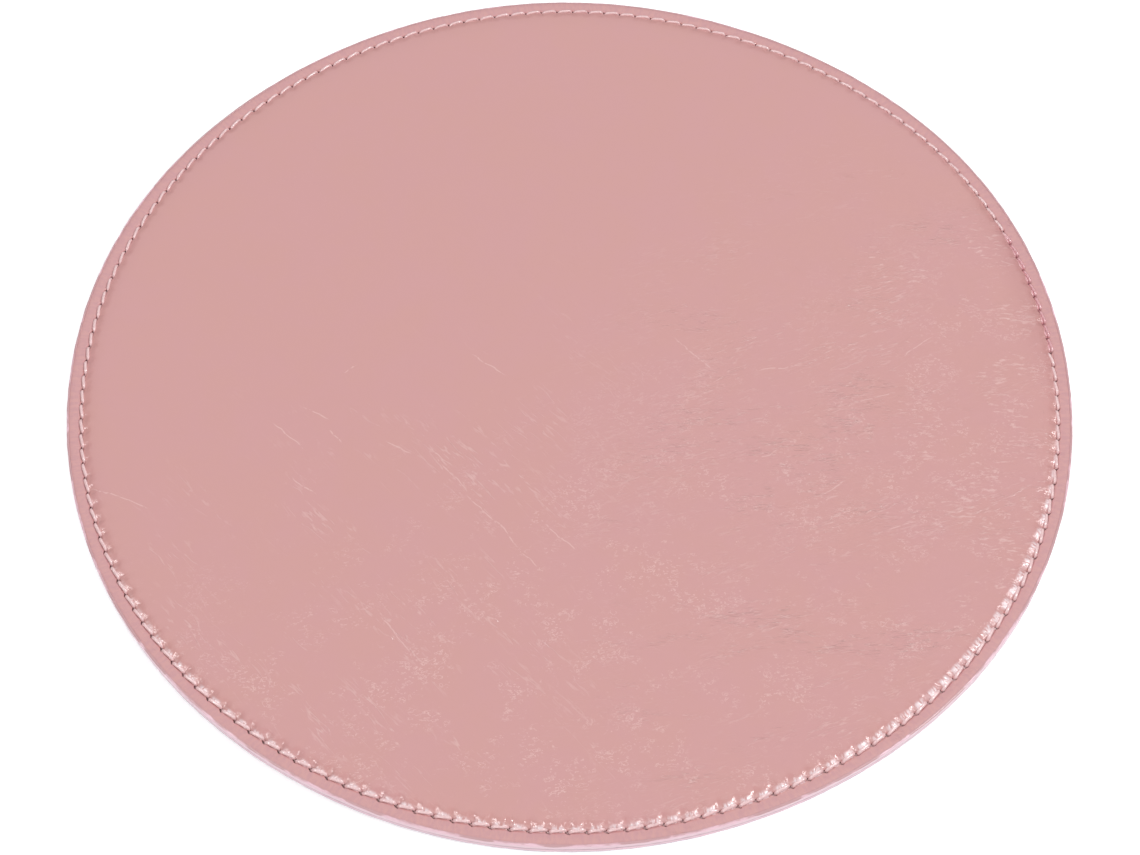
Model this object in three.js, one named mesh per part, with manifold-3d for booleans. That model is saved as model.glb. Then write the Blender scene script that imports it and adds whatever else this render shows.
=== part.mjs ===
// A round desk pad for a mouse: a leatherette cover over a thin foam core, glued and sewn to a
// suede base by one lockstitch seam that runs round the rim, with the cut edge painted.
// Millimetres, +Z up. The origin is the centre of the underside.
import * as THREE from "three";
import { mergeGeometries, mergeVertices } from "three/addons/utils/BufferGeometryUtils.js";
import Module from "manifold-3d";

const wasm = await Module();
wasm.setup();

// The disc and its layers, from the desk upwards
const padRadius = 110;
const baseThickness = 1.4;
const filmThickness = 0.1;
const foamThickness = 0.7;
const coverThickness = 1.6;

// The paint on the cut edge
const paintThickness = 0.5;
const paintLip = 0.1;
const paintRound = 0.4;
const plyLineDepth = 0.15;

// The seam, and the channel that it pulls into each face
const seamInset = 2.9;
const stitchLength = 3.82;
const channelFloorWidth = 1.2;
const channelWallRun = 0.6;
const coverChannelDepth = 0.45;

// The two threads and the needle holes that they share
const needleThreadDiameter = 0.7;
const bobbinThreadDiameter = 0.5;
const threadSeatGap = 0.03;
const lockGap = 0.1;
const legSpread = 0.55;
const holeClearance = 0.1;

// The puffed shoulder between the flat field and the seam
const shoulderWidth = 9.5;
const coverBendSetback = 0.9;
const foamEdgeThickness = 0.15;
const shoulderPower = 2.4;
const shoulderSteps = 4;

// How finely the round shapes are cut
const circleFacets = 72;
const threadSides = 3;
const cutOverrun = 1;

// Radii that follow from the seam
const plyRadius = padRadius - paintThickness;
const seamRadius = padRadius - seamInset;
const channelInnerFloor = seamRadius - channelFloorWidth / 2;
const channelOuterFloor = seamRadius + channelFloorWidth / 2;
const channelInnerLip = channelInnerFloor - channelWallRun;
const channelOuterLip = channelOuterFloor + channelWallRun;
const coverBendRadius = channelInnerLip - coverBendSetback;
const fieldRadius = channelInnerLip - shoulderWidth;

// Heights of the stack: along the rim the cover lies straight on the base
const coverRimHeight = baseThickness + coverThickness;
const foamBottom = baseThickness + filmThickness;
const foamTop = foamBottom + foamThickness;
const coverUnderside = foamTop + filmThickness;
const coverTop = coverUnderside + coverThickness;
const puffHeight = coverUnderside - baseThickness;

// The foam is skived along the cover's underside, a film's thickness below it, down to its thin edge
const skivedShare = ((foamThickness - foamEdgeThickness) / puffHeight) ** (1 / shoulderPower);
const foamRadius = fieldRadius + (coverBendRadius - fieldRadius) * skivedShare;

// The seam: each thread runs from hole to hole in its channel and dips to meet the other in the hole
const stitchCount = Math.round((2 * Math.PI * seamRadius) / stitchLength);
const coverChannelFloor = coverRimHeight - coverChannelDepth;
const needleRunHeight = coverChannelFloor + threadSeatGap + needleThreadDiameter / 2;
const bobbinRunHeight = bobbinThreadDiameter / 2;
const baseChannelDepth = bobbinThreadDiameter + threadSeatGap;
const lockHeight = (coverChannelFloor + baseChannelDepth) / 2;
const needleLockHeight = lockHeight + lockGap / 2 + needleThreadDiameter / 2;
const bobbinLockHeight = lockHeight - lockGap / 2 - bobbinThreadDiameter / 2;
const holeWidth = needleThreadDiameter + 2 * holeClearance;
const holeLength = 2 * legSpread + needleThreadDiameter / 2 + 2 * holeClearance;

const coverLeather = new THREE.MeshStandardMaterial({ color: 0xd5a2a1, roughness: 0.45, metalness: 0 });
const baseSuede = new THREE.MeshStandardMaterial({ color: 0xc9a0a5, roughness: 0.95, metalness: 0 });
const coreFoam = new THREE.MeshStandardMaterial({ color: 0xf1ece6, roughness: 0.9, metalness: 0 });
const glueFilm = new THREE.MeshStandardMaterial({ color: 0xe9dfc8, roughness: 0.35, metalness: 0 });
const edgePaint = new THREE.MeshStandardMaterial({ color: 0xe8c5d1, roughness: 0.4, metalness: 0 });
const sewingThread = new THREE.MeshStandardMaterial({ color: 0xeab5bd, roughness: 0.4, metalness: 0 });

// A solid of revolution from [radius, height] points that run up the outside, from axis to axis
// or back to the first point.
function turned(points) {
  const profile = points.map(([radius, height]) => new THREE.Vector2(radius, height));
  const geometry = new THREE.LatheGeometry(profile, circleFacets);
  return geometry.rotateX(Math.PI / 2);
}

// The points of the shoulder, from the edge of the field down to the outer radius, or over the
// first share of that way. It leaves the field level and steepens all the way, as a sheet does
// that a seam pulls down.
function shoulder(outerRadius, topHeight, bottomHeight, reachShare = 1) {
  const points = [];
  for (let step = 0; step <= shoulderSteps; step++) {
    const along = (reachShare * step) / shoulderSteps;
    const drop = along ** shoulderPower;
    const radius = fieldRadius + (outerRadius - fieldRadius) * along;
    points.push([radius, topHeight + (bottomHeight - topHeight) * drop]);
  }
  return points;
}

function solidOf(geometry) {
  const bare = geometry.clone();
  bare.deleteAttribute("normal");
  bare.deleteAttribute("uv");
  const merged = mergeVertices(bare);
  return new wasm.Manifold(
    new wasm.Mesh({
      numProp: 3,
      vertProperties: merged.attributes.position.array,
      triVerts: new Uint32Array(merged.index.array),
    }),
  );
}

function geometryOf(solid) {
  const { vertProperties, triVerts } = solid.getMesh();
  const geometry = new THREE.BufferGeometry();
  geometry.setAttribute("position", new THREE.BufferAttribute(vertProperties, 3));
  geometry.setIndex(new THREE.BufferAttribute(triVerts, 1));
  return geometry;
}

// One straight-sided slot for each stitch, all as one cutting tool that passes both plies.
function needleHoles() {
  const bottom = -cutOverrun;
  const top = coverTop + cutOverrun;
  const slots = [];
  for (let stitch = 0; stitch < stitchCount; stitch++) {
    const slot = new THREE.BoxGeometry(holeWidth, holeLength, top - bottom);
    slot.translate(seamRadius, 0, (top + bottom) / 2);
    slot.rotateZ((2 * Math.PI * stitch) / stitchCount);
    slots.push(slot);
  }
  return solidOf(mergeGeometries(slots));
}

function pierced(geometry) {
  return geometryOf(solidOf(geometry).subtract(needleHoles()));
}

// One unbroken thread right round the seam. In each hole it dips from its run to the lock, where
// it meets the other thread. Its section has a corner on the side of the run, and leans half way
// into each leg.
function stitchedThread(diameter, runHeight, dipHeight) {
  const legRise = runHeight - dipHeight;
  const lean = Math.atan2(legRise, legSpread) / 2;
  const firstTurn = (Math.sign(legRise) * Math.PI) / 2;
  const legAngle = legSpread / seamRadius;
  const pitchAngle = (2 * Math.PI) / stitchCount;
  const stations = [];
  for (let stitch = 0; stitch < stitchCount; stitch++) {
    const holeAngle = stitch * pitchAngle;
    stations.push({ angle: holeAngle, height: dipHeight, lean: 0 });
    stations.push({ angle: holeAngle + legAngle, height: runHeight, lean });
    stations.push({ angle: holeAngle + pitchAngle - legAngle, height: runHeight, lean: -lean });
  }
  const positions = [];
  for (const station of stations) {
    const outward = new THREE.Vector3(Math.cos(station.angle), Math.sin(station.angle), 0);
    const upward = new THREE.Vector3(0, 0, Math.cos(station.lean));
    upward.x = Math.sin(station.angle) * Math.sin(station.lean);
    upward.y = -Math.cos(station.angle) * Math.sin(station.lean);
    for (let side = 0; side < threadSides; side++) {
      const turn = firstTurn + (2 * Math.PI * side) / threadSides;
      const corner = outward.clone().multiplyScalar(seamRadius + (Math.cos(turn) * diameter) / 2);
      corner.z = station.height;
      corner.addScaledVector(upward, (Math.sin(turn) * diameter) / 2);
      positions.push(corner.x, corner.y, corner.z);
    }
  }
  const indices = [];
  for (let ring = 0; ring < stations.length; ring++) {
    const here = ring * threadSides;
    const next = ((ring + 1) % stations.length) * threadSides;
    for (let side = 0; side < threadSides; side++) {
      const across = (side + 1) % threadSides;
      indices.push(here + side, next + side, here + across);
      indices.push(here + across, next + side, next + across);
    }
  }
  const geometry = new THREE.BufferGeometry();
  geometry.setAttribute("position", new THREE.Float32BufferAttribute(positions, 3));
  geometry.setIndex(indices);
  return geometry;
}

// The suede base: flat on top, with the bobbin thread's channel in its underside.
function baseSheet() {
  return pierced(
    turned([
      [0, 0],
      [channelInnerLip, 0],
      [channelInnerFloor, baseChannelDepth],
      [channelOuterFloor, baseChannelDepth],
      [channelOuterLip, 0],
      [plyRadius, 0],
      [plyRadius, baseThickness],
      [0, baseThickness],
    ]),
  );
}

// The leatherette cover: flat border, sewn channel, puffed shoulder and flat field.
function topCover() {
  const underShoulder = shoulder(coverBendRadius, coverUnderside, baseThickness);
  const upperShoulder = shoulder(channelInnerLip, coverTop, coverRimHeight);
  return pierced(
    turned([
      [0, coverUnderside],
      ...underShoulder,
      [plyRadius, baseThickness],
      [plyRadius, coverRimHeight],
      [channelOuterLip, coverRimHeight],
      [channelOuterFloor, coverChannelFloor],
      [channelInnerFloor, coverChannelFloor],
      ...upperShoulder.reverse(),
      [0, coverTop],
    ]),
  );
}

// The foam core: a thin sheet, skived to a thin edge just inside the seam.
function foamCore() {
  const skivedEdge = shoulder(coverBendRadius, foamTop, foamTop - puffHeight, skivedShare);
  return turned([[0, foamBottom], [foamRadius, foamBottom], ...skivedEdge.reverse(), [0, foamTop]]);
}

function filmDisc(radius, bottom) {
  const top = bottom + filmThickness;
  return turned([
    [0, bottom],
    [radius, bottom],
    [radius, top],
    [0, top],
  ]);
}

// The paint: a rounded band that covers both cut edges and sinks a little at the line between them.
function paintedEdge() {
  const bottom = paintLip;
  const top = coverRimHeight - paintLip;
  return turned([
    [plyRadius, bottom],
    [padRadius, bottom + paintRound],
    [padRadius - plyLineDepth, baseThickness],
    [padRadius, top - paintRound],
    [plyRadius, top],
    [plyRadius, bottom],
  ]);
}

const pad = new THREE.Group();

function addPiece(name, geometry, material) {
  const mesh = new THREE.Mesh(geometry, material);
  mesh.name = name;
  pad.add(mesh);
}

addPiece("base_sheet", baseSheet(), baseSuede);
addPiece("base_glue_film", filmDisc(foamRadius, baseThickness), glueFilm);
addPiece("foam_core", foamCore(), coreFoam);
addPiece("cover_glue_film", filmDisc(fieldRadius, foamTop), glueFilm);
addPiece("top_cover", topCover(), coverLeather);
addPiece("edge_paint", paintedEdge(), edgePaint);
addPiece("needle_thread", stitchedThread(needleThreadDiameter, needleRunHeight, needleLockHeight), sewingThread);
addPiece("bobbin_thread", stitchedThread(bobbinThreadDiameter, bobbinRunHeight, bobbinLockHeight), sewingThread);

export default pad;
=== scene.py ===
import math
import random

import bmesh
import bpy
from mathutils import Matrix, Vector, noise


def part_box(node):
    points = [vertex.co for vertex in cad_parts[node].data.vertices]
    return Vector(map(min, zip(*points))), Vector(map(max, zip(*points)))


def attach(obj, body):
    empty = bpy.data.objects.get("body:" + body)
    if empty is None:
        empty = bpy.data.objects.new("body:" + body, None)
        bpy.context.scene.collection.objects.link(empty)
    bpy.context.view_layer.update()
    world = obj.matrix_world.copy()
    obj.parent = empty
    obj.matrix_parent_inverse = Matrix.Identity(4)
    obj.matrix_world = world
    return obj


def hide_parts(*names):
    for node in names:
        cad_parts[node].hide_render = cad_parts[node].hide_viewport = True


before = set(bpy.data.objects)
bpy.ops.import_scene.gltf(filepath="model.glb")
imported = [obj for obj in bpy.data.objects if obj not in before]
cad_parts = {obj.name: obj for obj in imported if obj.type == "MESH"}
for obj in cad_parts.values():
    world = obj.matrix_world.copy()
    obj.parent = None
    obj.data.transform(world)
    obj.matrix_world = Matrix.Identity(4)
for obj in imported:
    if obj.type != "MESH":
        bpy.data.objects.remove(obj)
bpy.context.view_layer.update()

# Camera: the pad is seen from in front and above through a long lens that points a little in front
# of its middle. The camera's place comes from the pad's outline, an ellipse in the picture, and
# from how much of the near rim shows.
MM = 0.001
PICTURE_WIDTH = 1140
PICTURE_HEIGHT = 855
LENS_MM = 75.25
SENSOR_MM = 36
EYE_DISTANCE = 520.1 * MM
EYE_ELEVATION = math.radians(57.63)
EYE_ROLL = math.radians(0.33)
AIM = Vector((0, -11.25 * MM, 0))
NEAREST_SEEN = 0.01
FARTHEST_SEEN = 20

camera_data = bpy.data.cameras.new("camera")
camera_data.lens = LENS_MM
camera_data.sensor_width = SENSOR_MM
camera_data.clip_start = NEAREST_SEEN
camera_data.clip_end = FARTHEST_SEEN
camera = bpy.data.objects.new("camera", camera_data)
bpy.context.scene.collection.objects.link(camera)
eye_back = Vector((0, -math.cos(EYE_ELEVATION), math.sin(EYE_ELEVATION)))
level_up = eye_back.cross(Vector((1, 0, 0)))
eye_right = Vector((1, 0, 0)) * math.cos(EYE_ROLL) + level_up * math.sin(EYE_ROLL)
eye_axes = Matrix((eye_right, eye_back.cross(eye_right), eye_back)).transposed()
eye_place = AIM + eye_back * EYE_DISTANCE
camera.matrix_world = Matrix.Translation(eye_place) @ eye_axes.to_4x4()
bpy.context.scene.camera = camera

# Base sheet: a disc of fine synthetic suede that grips the desk. It is cut out by hand together
# with the cover, so both stray from the true circle alike, and the bobbin thread draws a shallow
# channel with a pit at each needle hole into its underside.
SEAM_INSET = 3.25 * MM
STITCHES = 176
CUT_WAVES = ((2, 1.5, 0.10 * MM), (5, -1.3, 0.14 * MM), (6, -1.75, 0.19 * MM))
SEAM_WAVES = ((1, 3.0, 0.08 * MM), (3, 3.1, 0.10 * MM), (13, 0.7, 0.05 * MM))
STRAY_RADII = (0.5, 0.9)
BASE_EDGE_ROUND = 0.15 * MM
BASE_CHANNEL_HALF = 0.95 * MM
BASE_CHANNEL_DEPTH = 0.5 * MM
CHANNEL_FLOOR_SHARE = 0.45
BASE_PIT_DEPTH = 0.7 * MM
PIT_OUTSET = 0.10 * MM
PIT_HALF_LENGTH = 0.60 * MM
PIT_HALF_WIDTH = 0.31 * MM
PIT_SLANT = math.radians(38)
PIT_WALL = (0.65, 1.25)

# How finely the round bodies are divided, and how near two places are to count as one
COLUMNS_PER_STITCH = 3
COLUMN_CROWDING = 0.6
BAND_REACH = 2.2 * MM
BAND_CUTS = 3
BASE_MIDDLE_RINGS = 10
BASE_BAND_RINGS = 16
BASE_TOP_RINGS = 8
SAME_LEVEL = 0.01 * MM
SAME_POINT = 0.001 * MM

# The suede: its nap lies in patches of two tones
BASE_COLOUR = (0.585, 0.352, 0.376, 1)
BASE_NAP_COLOUR = (0.50, 0.285, 0.31, 1)
BASE_NAP_MM = 8
BASE_NAP_LEVELS = (0.35, 0.65)
BASE_FIBRE_MM = 0.25
BASE_RELIEF_MM = 0.06

base_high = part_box("base_sheet")[1]
ply_radius = base_high.x
pad_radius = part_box("edge_paint")[1].x
seam_circle = pad_radius - SEAM_INSET
stitch_angle = 2 * math.pi / STITCHES
stitch_length = stitch_angle * seam_circle


def waves(turn, table):
    """A slow stray that is the sum of a few waves round the pad."""
    return sum(size * math.sin(count * turn + start) for count, start, size in table)


def cut_stray(turn):
    """How far the hand-cut edge lies outside its circle."""
    return waves(turn, CUT_WAVES)


def seam_radius(turn):
    """The sewn line follows the cut edge, with a little wander of its own."""
    return seam_circle + cut_stray(turn) + waves(turn, SEAM_WAVES)


def stitch_place(turn):
    """The nearest needle hole, and how far past it along the seam a direction lies."""
    nearest = math.floor(turn / stitch_angle + 0.5)
    return nearest % STITCHES, (turn / stitch_angle - nearest) * stitch_length


def point_at(radius, turn, height=0):
    """The point at a radius, in a direction and at a height of the pad."""
    return Vector((radius * math.cos(turn), radius * math.sin(turn), height))


def polar(point):
    """The radius and the direction in which a point lies."""
    return math.hypot(point.x, point.y), math.atan2(point.y, point.x)


def smooth_step(low, high, value):
    """0 up to the low value and 1 from the high one, with a smooth rise between."""
    share = min(max((value - low) / (high - low), 0), 1)
    return share * share * (3 - 2 * share)


def rings(start, end, count):
    """Evenly spaced values from start up to, but not including, end."""
    return [start + (end - start) * step / count for step in range(count)]


def turned(profile, columns, closed=False):
    """A round body from (radius, height) points, spun about the pad's axis."""
    bm = bmesh.new()
    points = [bm.verts.new((radius, 0, height)) for radius, height in profile]
    if closed:
        points.append(points[0])
    edges = [bm.edges.new(pair) for pair in zip(points, points[1:])]
    bmesh.ops.spin(
        bm, geom=bm.verts[:] + edges, cent=(0, 0, 0), axis=(0, 0, 1), dvec=(0, 0, 0),
        angle=2 * math.pi, steps=columns, use_merge=True, use_normal_flip=False, use_duplicate=False,
    )
    bmesh.ops.remove_doubles(bm, verts=bm.verts, dist=SAME_POINT)
    return bm


def refine_band(bm, inner, outer, level):
    """Adds columns to the rings that lie between two radii at one level."""
    chosen = []
    for edge in bm.edges:
        start, end = (vert.co for vert in edge.verts)
        radius = math.hypot(start.x, start.y)
        is_ring = abs(radius - math.hypot(end.x, end.y)) < SAME_LEVEL
        is_level = abs(start.z - level) < SAME_LEVEL and abs(end.z - level) < SAME_LEVEL
        if is_ring and is_level and inner - SAME_LEVEL < radius < outer + SAME_LEVEL:
            chosen.append(edge)
    bmesh.ops.subdivide_edges(bm, edges=chosen, cuts=BAND_CUTS, use_grid_fill=True)


def crowd_columns(bm):
    """Draws the columns together at the needle holes, where the surface turns most."""
    for vert in bm.verts:
        radius, turn = polar(vert.co)
        turn -= COLUMN_CROWDING * stitch_angle / (2 * math.pi) * math.sin(2 * math.pi * turn / stitch_angle)
        vert.co = point_at(radius, turn, vert.co.z)


def follow_cut(bm):
    """Moves the outer part of a round body with the strays of its hand-cut edge."""
    still, moving = (share * pad_radius for share in STRAY_RADII)
    for vert in bm.verts:
        radius, turn = polar(vert.co)
        if radius > still:
            grown = 1 + cut_stray(turn) * smooth_step(still, moving, radius) / radius
            vert.co.x *= grown
            vert.co.y *= grown


def pit_share(along, across):
    """1 inside the slanted slit that the needle leaves, falling to 0 round it."""
    across -= PIT_OUTSET
    lengthways = along * math.cos(PIT_SLANT) + across * math.sin(PIT_SLANT)
    sideways = across * math.cos(PIT_SLANT) - along * math.sin(PIT_SLANT)
    reach = math.hypot(lengthways / PIT_HALF_LENGTH, sideways / PIT_HALF_WIDTH)
    return 1 - smooth_step(*PIT_WALL, reach)


def new_piece(name, bm, material, slot_name, *nodes):
    """A finished bmesh becomes a piece of one material that rides on the pad."""
    mesh = bpy.data.meshes.new(name)
    bmesh.ops.recalc_face_normals(bm, faces=bm.faces)
    bm.to_mesh(mesh)
    bm.free()
    mesh.materials.append(material)
    mesh.shade_smooth()
    piece = bpy.data.objects.new(name, mesh)
    bpy.context.scene.collection.objects.link(piece)
    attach(piece, "root")
    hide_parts(*nodes)
    return piece


class Finish:
    """A material measured in millimetres, with short calls for the nodes that it is made of. Layers
    are further settings of its shader, such as coat_weight."""

    def __init__(self, name, roughness, specular=0.5, **layers):
        self.material = bpy.data.materials.new(name)
        self.material.use_nodes = True
        self.tree = self.material.node_tree
        self.shader = self.tree.nodes["Principled BSDF"]
        self.shader.inputs["Roughness"].default_value = roughness
        self.shader.inputs["Specular IOR Level"].default_value = specular
        for layer, value in layers.items():
            self.shader.inputs[layer.replace("_", " ").title()].default_value = value
        coords = self.tree.nodes.new("ShaderNodeTexCoord")
        self.place = self.mapped(coords.outputs["Object"], scale=(1 / MM, 1 / MM, 1 / MM))

    def link(self, value, socket):
        """A number or a colour is set on the socket, and anything else is wired to it."""
        if isinstance(value, (int, float, tuple)):
            socket.default_value = value
        else:
            self.tree.links.new(value, socket)

    def mapped(self, vector, location=(0, 0, 0), lie=0, scale=(1, 1, 1), kind="POINT"):
        """Places moved, turned by the lie and scaled."""
        node = self.tree.nodes.new("ShaderNodeMapping")
        node.vector_type = kind
        node.inputs["Location"].default_value = location
        node.inputs["Rotation"].default_value = (0, 0, lie if kind == "TEXTURE" else -lie)
        node.inputs["Scale"].default_value = scale
        self.link(vector, node.inputs["Vector"])
        return node.outputs["Vector"]

    def math(self, operation, *values):
        node = self.tree.nodes.new("ShaderNodeMath")
        node.operation = operation
        for value, socket in zip(values, node.inputs):
            self.link(value, socket)
        return node.outputs["Value"]

    def product(self, first, *others):
        for other in others:
            first = self.math("MULTIPLY", first, other)
        return first

    def greatest(self, first, *others):
        for other in others:
            first = self.math("MAXIMUM", first, other)
        return first

    def vector_math(self, operation, *values):
        node = self.tree.nodes.new("ShaderNodeVectorMath")
        node.operation = operation
        for value, socket in zip(values, node.inputs):
            self.link(value, socket)
        return node.outputs["Value" if operation == "LENGTH" else "Vector"]

    def scaled(self, vector, factor):
        node = self.tree.nodes.new("ShaderNodeVectorMath")
        node.operation = "SCALE"
        self.link(vector, node.inputs["Vector"])
        self.link(factor, node.inputs["Scale"])
        return node.outputs["Vector"]

    def noise(self, vector, size, detail=2.0, roughness=0.5, output="Fac"):
        """Noise whose largest lumps are about the given size, in millimetres."""
        node = self.tree.nodes.new("ShaderNodeTexNoise")
        node.inputs["Scale"].default_value = 1 / size
        node.inputs["Detail"].default_value = detail
        node.inputs["Roughness"].default_value = roughness
        self.link(vector, node.inputs["Vector"])
        return node.outputs[output]

    def ramp(self, value, low, high, start=0.0, end=1.0):
        """A smooth change from start to end while the value goes from low to high."""
        node = self.tree.nodes.new("ShaderNodeMapRange")
        node.interpolation_type = "SMOOTHSTEP"
        for name, number in (("From Min", low), ("From Max", high), ("To Min", start), ("To Max", end)):
            node.inputs[name].default_value = number
        self.link(value, node.inputs["Value"])
        return node.outputs["Result"]

    def mix(self, share, first, second):
        """A colour that goes from the first to the second as the share goes from 0 to 1."""
        node = self.tree.nodes.new("ShaderNodeMix")
        node.data_type = "RGBA"
        self.link(share, node.inputs["Factor"])
        for name, value in (("A", first), ("B", second)):
            colours = [socket for socket in node.inputs if socket.name == name and socket.type == "RGBA"]
            self.link(value, colours[0])
        return [socket for socket in node.outputs if socket.type == "RGBA"][0]

    def split(self, vector):
        node = self.tree.nodes.new("ShaderNodeSeparateXYZ")
        self.link(vector, node.inputs["Vector"])
        return node.outputs["X"], node.outputs["Y"], node.outputs["Z"]

    def colour(self, value):
        self.link(value, self.shader.inputs["Base Color"])

    def bump(self, height, depth):
        """Relief of the given depth in millimetres where height goes from 0 to 1."""
        node = self.tree.nodes.new("ShaderNodeBump")
        node.inputs["Distance"].default_value = depth * MM
        self.link(height, node.inputs["Height"])
        self.link(node.outputs["Normal"], self.shader.inputs["Normal"])


base_finish = Finish(
    "suede_base_finish", roughness=0.95, specular=0.2, sheen_weight=0.35, sheen_roughness=0.4
)
base_nap = base_finish.noise(base_finish.place, BASE_NAP_MM, detail=4, roughness=0.6)
base_nap = base_finish.ramp(base_nap, *BASE_NAP_LEVELS)
base_fibre = base_finish.noise(base_finish.place, BASE_FIBRE_MM, detail=3, roughness=0.7)
base_finish.colour(base_finish.mix(base_nap, BASE_COLOUR, BASE_NAP_COLOUR))
base_finish.bump(base_fibre, BASE_RELIEF_MM)

band_inner, band_outer = seam_circle - BAND_REACH, seam_circle + BAND_REACH
base_under = rings(0, band_inner, BASE_MIDDLE_RINGS) + rings(band_inner, band_outer, BASE_BAND_RINGS)
base_profile = [(radius, 0) for radius in base_under + [band_outer, ply_radius - BASE_EDGE_ROUND]]
base_profile += [(ply_radius, BASE_EDGE_ROUND)]
base_profile += [(radius, base_high.z) for radius in rings(ply_radius, 0, BASE_TOP_RINGS) + [0]]

bm = turned(base_profile, STITCHES * COLUMNS_PER_STITCH)
refine_band(bm, band_inner, band_outer, 0)
crowd_columns(bm)
follow_cut(bm)
for vert in bm.verts:
    radius, turn = polar(vert.co)
    across = radius - seam_radius(turn)
    if vert.co.z < SAME_LEVEL and abs(across) < BAND_REACH:
        channel = 1 - smooth_step(CHANNEL_FLOOR_SHARE * BASE_CHANNEL_HALF, BASE_CHANNEL_HALF, abs(across))
        pit = pit_share(stitch_place(turn)[1], across)
        vert.co.z += BASE_CHANNEL_DEPTH * channel + BASE_PIT_DEPTH * pit
new_piece("suede_base", bm, base_finish.material, "base_suede", "base_sheet")

# Glue films: two thin discs of tacky film that hold the foam to the base and to the cover. They
# are hidden inside, and the CAD discs are their real shape.
FILM_COLOUR = (0.81, 0.74, 0.58, 1)
FILM_DARK_COLOUR = (0.70, 0.60, 0.42, 1)
FILM_STREAK_MM = 5
FILM_DIMPLE_MM = 1.2
FILM_RELIEF_MM = 0.02

film_finish = Finish("glue_film_finish", roughness=0.35)
film_streaks = film_finish.noise(film_finish.place, FILM_STREAK_MM, detail=4)
film_finish.colour(film_finish.mix(film_streaks, FILM_COLOUR, FILM_DARK_COLOUR))
film_finish.bump(film_finish.noise(film_finish.place, FILM_DIMPLE_MM), FILM_RELIEF_MM)
for node_name in ("base_glue_film", "cover_glue_film"):
    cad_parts[node_name].data.materials.clear()
    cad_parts[node_name].data.materials.append(film_finish.material)

# Foam core: a thin sheet of closed-cell foam under the field. Its edge is skived down just
# inside the seam, which gives the cover its puffed shoulder.
FOAM_EDGE = 0.15 * MM
BEND_INSET = 5.0 * MM
SHOULDER_POWER = 2.4
SKIVE_RINGS = 12
FOAM_COLOUR = (0.88, 0.84, 0.79, 1)
FOAM_CELL_COLOUR = (0.74, 0.69, 0.63, 1)
FOAM_CELL_MM = 0.6
FOAM_CELL_LEVELS = (0.4, 0.7)
FOAM_RELIEF_MM = 0.15

foam_low, foam_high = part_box("foam_core")
film_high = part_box("cover_glue_film")[1]
field_radius = film_high.x
bend_radius = pad_radius - BEND_INSET
puff_height = film_high.z - base_high.z


def shoulder_drop(radius):
    """How far the foam's side and the cover's underside have come down from the field."""
    share = (radius - field_radius) / (bend_radius - field_radius)
    return puff_height * share**SHOULDER_POWER


foam_finish = Finish("foam_core_finish", roughness=0.9, specular=0.3)
foam_cells = foam_finish.noise(foam_finish.place, FOAM_CELL_MM, detail=3, roughness=0.6)
foam_colour = foam_finish.ramp(foam_cells, *FOAM_CELL_LEVELS)
foam_finish.colour(foam_finish.mix(foam_colour, FOAM_COLOUR, FOAM_CELL_COLOUR))
foam_finish.bump(foam_cells, FOAM_RELIEF_MM)

foam_profile = [(0, foam_low.z), (foam_high.x, foam_low.z)]
for radius in rings(foam_high.x, field_radius, SKIVE_RINGS) + [field_radius]:
    foam_profile.append((radius, max(foam_high.z - shoulder_drop(radius), foam_low.z + FOAM_EDGE)))
foam_profile.append((0, foam_high.z))
foam_bm = turned(foam_profile, STITCHES)
foam = new_piece("foam_sheet", foam_bm, foam_finish.material, "core_foam", "foam_core")

# Cover: leatherette, a soft backing with a satin plastic skin, puffed by the foam. The seam pulls
# it down hard, so that it gathers between the needle holes, most on the near side, where it swells
# over the thread. It lies flat on the base from the seam out to its cut edge.
SMOOTH_PUFF_REACH = 2.2 * MM
SMOOTH_PUFF_POWER = 1.2
PUFF_REACH = 1.5 * MM
PUFF_POWER = 1.3
GATHER_TURN = math.radians(278)
GATHER_SPAN = math.radians(72)
WIDE_PUFF_REACH = 2.8 * MM
WIDE_PUFF_POWER = 0.85
WIDE_PUFF_TURN = math.radians(14)
WIDE_PUFF_SPAN = math.radians(14)
LIP_INSET = 0.34 * MM
LIP_RISE = 0.34 * MM
LIP_SWING = 0.05 * MM
LIP_OVERHANG = 0.88
PINCH_DEPTH = 0.21 * MM
PINCH_INSET = 0.5 * MM
PINCH_WIDTH = 0.9 * MM
PINCH_RANGE = (0.65, 1.3)
PINCH_SEED = 7
WRINKLE_HEIGHT = 0.11 * MM
WRINKLE_SIZE = 0.7 * MM
WRINKLE_STRETCH = 0.3
WRINKLE_INSET = 0.7 * MM
WRINKLE_WIDTH = 1.1 * MM
BROAD_WRINKLE_SHARE = 0.6
BROAD_WRINKLE_SCALE = 2.3
CHANNEL_DEPTH = 0.43 * MM
CHANNEL_OUTER = 0.50 * MM
BORDER_SCALLOP = 0.08 * MM
BORDER_DIP = 0.26 * MM
BORDER_DIP_REACH = 2.5 * MM
FAR_PIT_DEPTH = 0.48 * MM
NEAR_PIT_DEPTH = 1.05 * MM
SEAM_START_STITCH = 2
OVERLAP_STITCHES = 9
OVERLAP_SINK = 0.18 * MM
FIELD_WAVE = 0.05 * MM
FIELD_WAVE_LENGTH = 24 * MM
FIELD_WAVE_FADE = 5 * MM
COVER_EDGE_ROUND = 0.25 * MM
COVER_CORNER_SHARE = 0.3
SKIN_BAND_INSET = 3.2 * MM
SKIN_BAND_OUTSET = 1.6 * MM
SHOULDER_RINGS_INSET = 6 * MM
FIELD_RINGS = 15
SHOULDER_RINGS = 12
SKIN_BAND_RINGS = 27
COVER_UNDER_RINGS = 6

cover_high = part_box("top_cover")[1]
rim_height = base_high.z + cover_high.z - film_high.z
skin_inner = seam_circle - SKIN_BAND_INSET
skin_outer = seam_circle + SKIN_BAND_OUTSET

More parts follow.
